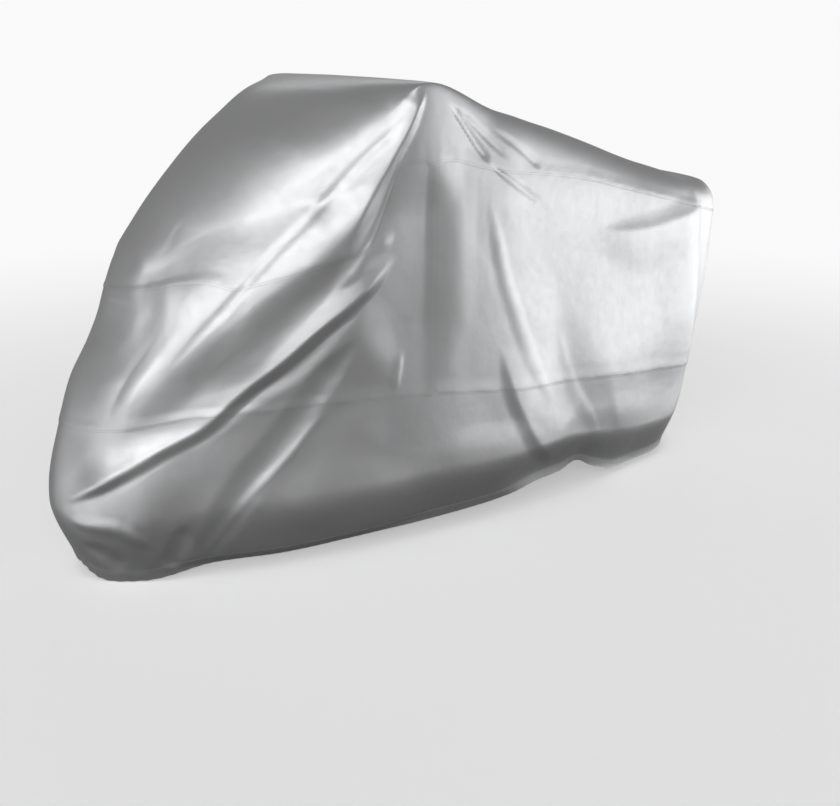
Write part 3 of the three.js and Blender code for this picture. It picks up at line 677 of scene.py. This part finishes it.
def sheet_mesh(name, points, thickness, ids, places):
    """A closed sheet from a grid of points on its outer face. places are its cloth coordinates."""
    normals = grid_normals(points, ids)
    inner = points - normals * thickness[..., None]
    count = ids.max() + 1
    vertices = np.zeros((2 * count, 3))
    vertices[ids.ravel()] = points.reshape(-1, 3)
    vertices[count + ids.ravel()] = inner.reshape(-1, 3)
    corners = [(slice(None, -1), slice(None, -1)), (slice(1, None), slice(None, -1)),
               (slice(1, None), slice(1, None)), (slice(None, -1), slice(1, None))]
    quads = np.stack([ids[corner].ravel() for corner in corners], 1)
    where = np.stack([places[corner].reshape(-1, 2) for corner in corners], 1)
    start, end = quads, np.roll(quads, -1, axis=1)
    where_end = np.roll(where, -1, axis=1)
    rim = ~np.isin(start * count + end, end * count + start)
    start, end, near, far = start[rim], end[rim], where[rim], where_end[rim]
    walls = np.stack([end, start, start + count, end + count], 1)
    wall_where = np.stack([far, near, near, far], 1)
    faces = np.concatenate([quads, quads[:, ::-1] + count, walls])
    where = np.concatenate([where, where[:, ::-1], wall_where])
    mesh = bpy.data.meshes.new(name)
    mesh.from_pydata(vertices.tolist(), [], faces.tolist())
    layer = mesh.uv_layers.new(name="cloth")
    layer.data.foreach_set("uv", where.astype(np.float32).ravel())
    slots = np.zeros(len(faces), np.int32)
    slots[len(quads):2 * len(quads)] = 1
    mesh.polygons.foreach_set("material_index", slots)
    mesh.shade_smooth()
    mesh.set_sharp_from_angle(angle=SHARP_ANGLE)
    return mesh


def sew_panel(context, kind, name, node):
    sizes = context.scene.cover_sizes
    panel = kind(sizes)
    along, level = panel.grid()
    ids = np.arange(along.size).reshape(along.shape)
    if kind is TopPanel:
        half = ids.shape[1] // 2
        for column in (0, -1):
            ids[column, -half:] = ids[column, :half][::-1]
        ids = np.unique(ids, return_inverse=True)[1].reshape(ids.shape)
    thickness = np.full(along.shape, sizes.thickness)
    if kind is Skirt:
        thickness = np.where(level < HEM["casing"], HEM["thickness"] * MM, sizes.thickness)
    places = np.stack([along, level], -1) * MM
    mesh = sheet_mesh(name, panel.surface(along, level), thickness, ids, places)
    mesh.materials.append(silver_cloth(context))
    mesh.materials.append(bare_back(context))
    piece = bpy.data.objects.new(name, mesh)
    context.scene.collection.objects.link(piece)
    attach(piece, "root")
    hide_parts(node)
    return piece


def stitch_row(panel, start, stop, line, sizes):
    """Vertices and faces of a row of stitches.

    line is a function that gives the row's level at each distance from start to stop. Where it is a
    number, the row stands upright at that distance, and start and stop are levels.
    """
    upright = not callable(line)
    pitch = sizes.pitch / MM
    first = start + np.arange(pitch / 2, stop - start - pitch, pitch)
    last = first + sizes.stitch / MM
    if upright:
        beside = panel.surface(np.full_like(first, line + BESIDE), first)
        a, b = (panel.surface(np.full_like(level, line), level) for level in (first, last))
    else:
        beside = panel.surface(first, line(first) + BESIDE)
        a, b = (panel.surface(along, line(along)) for along in (first, last))
    run = b - a
    out = np.cross(beside - a, run) if upright else np.cross(run, beside - a)
    out /= np.linalg.norm(out, axis=1, keepdims=True)
    across = np.cross(out, run)
    across /= np.linalg.norm(across, axis=1, keepdims=True)
    radius = sizes.thread / 2
    rings = []
    for part, rise in STITCH_RINGS:
        middle = a + part * run + out * rise * sizes.thread
        for turn in range(THREAD_SIDES):
            bend = 2 * math.pi * turn / THREAD_SIDES
            rings.append(middle + radius * (math.cos(bend) * out + math.sin(bend) * across))
    vertices = np.stack(rings, 1)
    turns = np.arange(THREAD_SIDES)
    starts = THREAD_SIDES * np.arange(len(STITCH_RINGS))[:, None]
    near, far = starts[:-1] + turns, starts[:-1] + np.roll(turns, -1)
    sides = np.stack([near, far, far + THREAD_SIDES, near + THREAD_SIDES], -1)
    pattern = np.concatenate([sides.reshape(-1, THREAD_SIDES), [turns[::-1], starts[-1] + turns]])
    faces = pattern + (np.arange(len(first)) * vertices.shape[1])[:, None, None]
    return vertices.reshape(-1, 3), faces.reshape(-1, THREAD_SIDES)


def beside_seam(table, below, mirror=0):
    """The levels below a seam, as a function. Those of the right side are mirrored at the crown."""
    return lambda along: abs(mirror - drape.seam(table, along) + below)


def sew_stitches(context, name, rows):
    """Joins rows of stitches into one piece."""
    vertices, faces, count = [], [], 0
    for points, quads in rows:
        vertices.append(points)
        faces.append(quads + count)
        count += len(points)
    mesh = bpy.data.meshes.new(name)
    mesh.from_pydata(np.concatenate(vertices).tolist(), [], np.concatenate(faces).tolist())
    mesh.shade_smooth()
    mesh.materials.append(sewing_thread(context))
    piece = bpy.data.objects.new(name, mesh)
    context.scene.collection.objects.link(piece)
    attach(piece, "root")
    return piece


class Wire:
    """A socket whose arithmetic adds Math nodes."""

    def __init__(self, board, socket):
        self.board, self.socket = board, socket

    def math(self, operation, *others):
        """A Math node of this wire and others."""
        sockets = {index: value for index, value in enumerate((self, *others))}
        return self.board.add("ShaderNodeMath", {"operation": operation}, sockets)

    def __add__(self, other):
        return self.math("ADD", other)

    __radd__ = __add__

    def __sub__(self, other):
        return self.math("SUBTRACT", other)

    def __rsub__(self, other):
        return (self * -1.0).math("ADD", other)

    def __mul__(self, other):
        return self.math("MULTIPLY", other)

    __rmul__ = __mul__


class Board:
    """The nodes of one material or world."""

    def __init__(self, owner):
        owner.use_nodes = True
        self.owner = owner
        self.nodes, self.links = owner.node_tree.nodes, owner.node_tree.links

    def fill(self, node, sockets):
        """Sets or links a node's sockets."""
        for key, value in sockets.items():
            socket = node.inputs[key]
            if isinstance(value, Wire):
                self.links.new(value.socket, socket)
            else:
                socket.default_value = value

    def add(self, kind, settings=None, sockets=None, output=0):
        """A node of a kind, with its settings made first and its sockets set or linked after."""
        node = self.nodes.new(kind)
        for key, value in (settings or {}).items():
            if key == "stops":
                ramp = node.color_ramp.elements
                while len(ramp) < len(value):
                    ramp.new(0.5)
                for stop, (place, shade) in zip(ramp, value):
                    stop.position, stop.color = place, (shade, shade, shade, 1)
            else:
                setattr(node, key, value)
        self.fill(node, sockets or {})
        return None if output is None else Wire(self, node.outputs[output])

    def along(self, wire, axis):
        """How far a vector reaches along an axis."""
        return self.add("ShaderNodeVectorMath", {"operation": "DOT_PRODUCT"}, {0: wire, 1: axis}, 1)

    def noise(self, place, scale, detail, **more):
        """Noise over places."""
        sockets = {"Vector": place, "Scale": scale, "Detail": detail, **more}
        return self.add("ShaderNodeTexNoise", {}, sockets)

    def wave(self, place, scale, direction):
        """Waves that follow each other in a direction."""
        settings = {"bands_direction": direction}
        return self.add("ShaderNodeTexWave", settings, {"Vector": place, "Scale": scale})

    def bump(self, height, strength, distance, **more):
        """The surface's direction, tilted by a height."""
        sockets = {"Height": height, "Strength": strength, "Distance": distance, **more}
        return self.add("ShaderNodeBump", {}, sockets)

    def mixed(self, red, green, blue):
        """A colour of three parts."""
        return self.add("ShaderNodeCombineColor", {}, {"Red": red, "Green": green, "Blue": blue})

    def shaded(self, tone, shade):
        """A colour times a shade."""
        settings = {"data_type": "RGBA", "blend_type": "MULTIPLY"}
        sockets = {0: 1.0, 6: (*tone, 1), 7: self.mixed(shade, shade, shade)}
        return self.add("ShaderNodeMix", settings, sockets, 2)

    def surface(self, **sockets):
        """Sets the shader's own sockets, named with underscores for spaces."""
        shader = self.nodes["Principled BSDF"]
        self.fill(shader, {key.replace("_", " "): value for key, value in sockets.items()})
        return self.owner


def known_material(make):
    """Makes a material once, under its function's name."""
    def known(context):
        name = make.__name__
        colours = context.scene.cover_colours
        return bpy.data.materials.get(name) or make(Board(bpy.data.materials.new(name)), colours)

    return known


@known_material
def silver_cloth(board, colours):
    """Satin silver coating on a fine plain weave, with soft clouds and a few rubbed places."""
    place = board.add("ShaderNodeUVMap", {"uv_map": "cloth"})
    body = board.add("ShaderNodeTexCoord", output=3)
    clouds = board.noise(body, 5.0, 3.0)
    grain = board.noise(place, 420.0, 2.0)
    rub = board.noise(body, 38.0, 4.0)
    crinkle = board.noise(body, 16.0, 3.0, Roughness=0.5)
    weave = board.wave(place, 460.0, "X") * board.wave(place, 460.0, "Y")
    return board.surface(
        Base_Color=board.shaded(colours.cloth, 0.93 + clouds * 0.1 + grain * 0.03),
        Metallic=colours.metal, Roughness=colours.roughness - 0.06 + rub * 0.12,
        Normal=board.bump(crinkle, 0.25, 0.004, Normal=board.bump(weave, 0.10, 0.0003)))


@known_material
def bare_back(board, colours):
    """Dull back of the coated cloth."""
    place = board.add("ShaderNodeUVMap", {"uv_map": "cloth"})
    grain = board.noise(place, 300.0, 2.0)
    return board.surface(
        Base_Color=board.shaded(colours.inside, 0.9 + grain * 0.15), Metallic=0.15,
        Roughness=0.62, Normal=board.bump(grain, 0.2, 0.0003))


@known_material
def sewing_thread(board, colours):
    """Twisted grey thread."""
    twist = board.wave(board.add("ShaderNodeTexCoord", output=3), 900.0, "DIAGONAL")
    return board.surface(
        Base_Color=board.shaded(colours.thread, 0.85 + twist * 0.15), Metallic=0.0, Roughness=0.55)


class COVER_OT_top(bpy.types.Operator):
    """Sew the top panel"""

    bl_idname = "cover.top"
    bl_label = "Top Panel"

    def execute(self, context):
        sew_panel(context, TopPanel, "top_sheet", "top_panel")
        return {"FINISHED"}


class COVER_OT_bands(bpy.types.Operator):
    """Sew the front band and the rear band"""

    bl_idname = "cover.bands"
    bl_label = "Bands"

    def execute(self, context):
        sew_panel(context, FrontBand, "front_band_sheet", "front_band")
        sew_panel(context, RearBand, "rear_band_sheet", "rear_band")
        return {"FINISHED"}


class COVER_OT_skirt(bpy.types.Operator):
    """Sew the skirt"""

    bl_idname = "cover.skirt"
    bl_label = "Skirt"

    def execute(self, context):
        sew_panel(context, Skirt, "skirt_sheet", "skirt")
        return {"FINISHED"}


class COVER_OT_stitches(bpy.types.Operator):
    """Sew the rows of stitches along the seams and the hem"""

    bl_idname = "cover.stitches"
    bl_label = "Stitches"

    def execute(self, context):
        sizes = context.scene.cover_sizes
        top, front, rear, skirt = (kind(sizes) for kind in (TopPanel, FrontBand, RearBand, Skirt))
        lap, grip, end = sizes.lap / MM, drape.grip, drape.end
        high, low, upright, tail = [], [], [], []
        for inset in STITCH_INSETS:
            below = lap * (1 - inset)
            left, over = beside_seam(HIGH_SEAM, below), beside_seam(LOW_SEAM, below)
            right = beside_seam(HIGH_SEAM, below, 2 * CROWN)
            high += [stitch_row(top, 0, end, line, sizes) for line in (left, right)]
            low += [stitch_row(front, -grip, grip, over, sizes),
                    stitch_row(rear, grip + lap, 2 * end - grip - lap, over, sizes)]
            for place in (-grip - below, grip + below):
                start, stop = drape.seam(LOW_SEAM, place), drape.seam(HIGH_SEAM, place) - STITCH_STOP
                upright.append(stitch_row(front, start, stop, place, sizes))
            stop = drape.seam(LOW_SEAM, end) - STITCH_STOP
            tail.append(stitch_row(skirt, TAIL_START, stop, end + below, sizes))
        hem = [stitch_row(skirt, -end, end, lambda along: 0 * along + HEM["casing"], sizes)]
        sew_stitches(context, "high_seam_stitches", high)
        sew_stitches(context, "low_seam_stitches", low)
        sew_stitches(context, "grip_seam_stitches", upright)
        sew_stitches(context, "hem_stitches", hem + tail)
        return {"FINISHED"}


def facing(azimuth, elevation):
    """The direction from the cover towards a place round it."""
    flat = math.cos(elevation)
    return Vector((math.sin(azimuth) * flat, -math.cos(azimuth) * flat, math.sin(elevation)))


def aimed(scene, data, target, direction, distance):
    """A lamp or a camera at a distance from a target, turned towards it."""
    item = bpy.data.objects.new(data.name, data)
    item.location = target + direction * distance
    item.rotation_euler = (-direction).to_track_quat("-Z", "Y").to_euler()
    scene.collection.objects.link(item)
    return item


class COVER_OT_stage(bpy.types.Operator):
    """Set up the floor, the lights and the camera"""

    bl_idname = "cover.stage"
    bl_label = "Stage"

    def execute(self, context):
        scene, look = context.scene, context.scene.cover_stage
        lowest = min(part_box(node)[0].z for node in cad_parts)
        half = FLOOR["half"]
        mesh = bpy.data.meshes.new("studio_floor")
        mesh.from_pydata([(-half, -half, 0), (half, -half, 0), (half, half, 0), (-half, half, 0)],
                         [], [(0, 1, 2, 3)])
        mesh.materials.append(studio_floor(look.floor))
        floor = bpy.data.objects.new("studio_floor", mesh)
        floor.location.z = lowest - FLOOR["gap"]
        floor.visible_glossy = False
        floor.visible_diffuse = False
        floor.visible_shadow = False
        scene.collection.objects.link(floor)
        floor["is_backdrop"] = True

        target = Vector(look.target)
        data = bpy.data.lights.new("back_lamp", "AREA")
        data.shape = "RECTANGLE"
        data.size, data.size_y = BACK_LAMP["size"]
        data.energy = BACK_LAMP["glow"] * math.pi * data.size * data.size_y
        direction = facing(look.azimuth + math.radians(BACK_LAMP["azimuth"]),
                           math.radians(BACK_LAMP["elevation"]))
        aimed(scene, data, target, direction, BACK_LAMP["distance"])

        scene.world = studio_world(look.azimuth)
        data = bpy.data.cameras.new("camera")
        data.lens, data.sensor_width, data.clip_end = look.lens, SENSOR, SIGHT
        scene.camera = aimed(scene, data, target, facing(look.azimuth, look.elevation), look.distance)
        scene.view_settings.view_transform = "Standard"
        return {"FINISHED"}


def studio_floor(tone):
    """Matt pale floor with a painted glow that grows further from the cover, so that it fades into the
    backdrop.
    """
    board = Board(bpy.data.materials.new("studio_floor"))
    place = board.add("ShaderNodeTexCoord", output=3)
    away = board.add("ShaderNodeVectorMath", {"operation": "LENGTH"}, {0: place}, 1)
    far = board.add(
        "ShaderNodeMapRange", {"interpolation_type": "SMOOTHSTEP"},
        {"Value": away, "From Min": FLOOR["near"], "From Max": FLOOR["far"]})
    base = board.mixed(*((1 - far) * shade for shade in tone))
    # Painted glow: the floor gives off light of its own, near_glow close to the cover and more further off,
    # in place of lamp light that does not reach it.
    glow = FLOOR["near_glow"] + far * FLOOR["more_glow"]
    light = board.mixed(glow, glow, glow)
    return board.surface(
        Base_Color=base, Roughness=0.9, Specular_IOR_Level=0.0, Emission_Color=light,
        Emission_Strength=1.0)


def studio_world(azimuth):
    """Soft light panels in dim studio air, and a pale backdrop for what lies behind the cover."""
    board = Board(bpy.data.worlds.new("studio"))
    board.nodes.clear()
    direction = board.add("ShaderNodeTexCoord")
    height = board.add("ShaderNodeSeparateXYZ", {}, {0: direction}, 2)
    glow = board.add("ShaderNodeValToRGB", {"stops": AIR}, {0: height * 0.5 + 0.5})
    for panel in PANELS.values():
        turn, tilt = azimuth + math.radians(panel["azimuth"]), math.radians(panel["elevation"])
        ahead, up = facing(turn, tilt), facing(turn, tilt + math.pi / 2)
        part = board.along(direction, ahead).math("GREATER_THAN", 0.0)
        for axis, half in ((up.cross(ahead), panel["width"]), (up, panel["height"])):
            edge = math.sin(math.radians(half))
            part = part * board.add(
                "ShaderNodeMapRange", {},
                {"Value": board.along(direction, axis).math("ABSOLUTE"),
                 "From Min": edge, "From Max": edge * (1 - panel["soft"])})
        glow = glow + part * panel["glow"]
    air = board.add("ShaderNodeBackground", {}, {"Color": glow})
    backdrop = board.add("ShaderNodeBackground", {}, {"Color": (BACKDROP, BACKDROP, BACKDROP, 1)})
    seen = board.add("ShaderNodeLightPath")
    both = board.add("ShaderNodeMixShader", {}, {0: seen, 1: air, 2: backdrop})
    board.add("ShaderNodeOutputWorld", {}, {"Surface": both}, None)
    return board.owner


class COVER_PT_panel(bpy.types.Panel):
    """Lists the cover's pieces and their sizes"""

    bl_label = "Motorcycle Cover"
    bl_idname = "COVER_PT_panel"
    bl_space_type = "VIEW_3D"
    bl_region_type = "UI"
    bl_category = "Cover"

    def draw(self, context):
        for operator in OPERATORS:
            self.layout.operator(operator.bl_idname)
        for group, kind in GROUPS.items():
            for name in kind.__annotations__:
                self.layout.prop(getattr(context.scene, group), name)


OPERATORS = (COVER_OT_top, COVER_OT_bands, COVER_OT_skirt, COVER_OT_stitches, COVER_OT_stage)
GROUPS = dict(cover_sizes=CoverSizes, cover_colours=CoverColours, cover_stage=CoverStage)
CLASSES = (*GROUPS.values(), *OPERATORS, COVER_PT_panel)


def register():
    for item in CLASSES:
        bpy.utils.register_class(item)
    for name, group in GROUPS.items():
        setattr(bpy.types.Scene, name, bpy.props.PointerProperty(type=group))


def unregister():
    for name in GROUPS:
        delattr(bpy.types.Scene, name)
    for item in reversed(CLASSES):
        bpy.utils.unregister_class(item)


def main():
    """Sews the whole cover."""
    register()
    bpy.ops.cover.top()
    bpy.ops.cover.bands()
    bpy.ops.cover.skirt()
    bpy.ops.cover.stitches()
    bpy.ops.cover.stage()
    boxes = {"cad": CAD_BOUNDS, "visual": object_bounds()}
    {name: [list(corner) for corner in box] for name, box in boxes.items()}


if __name__ == "__main__":
    main()
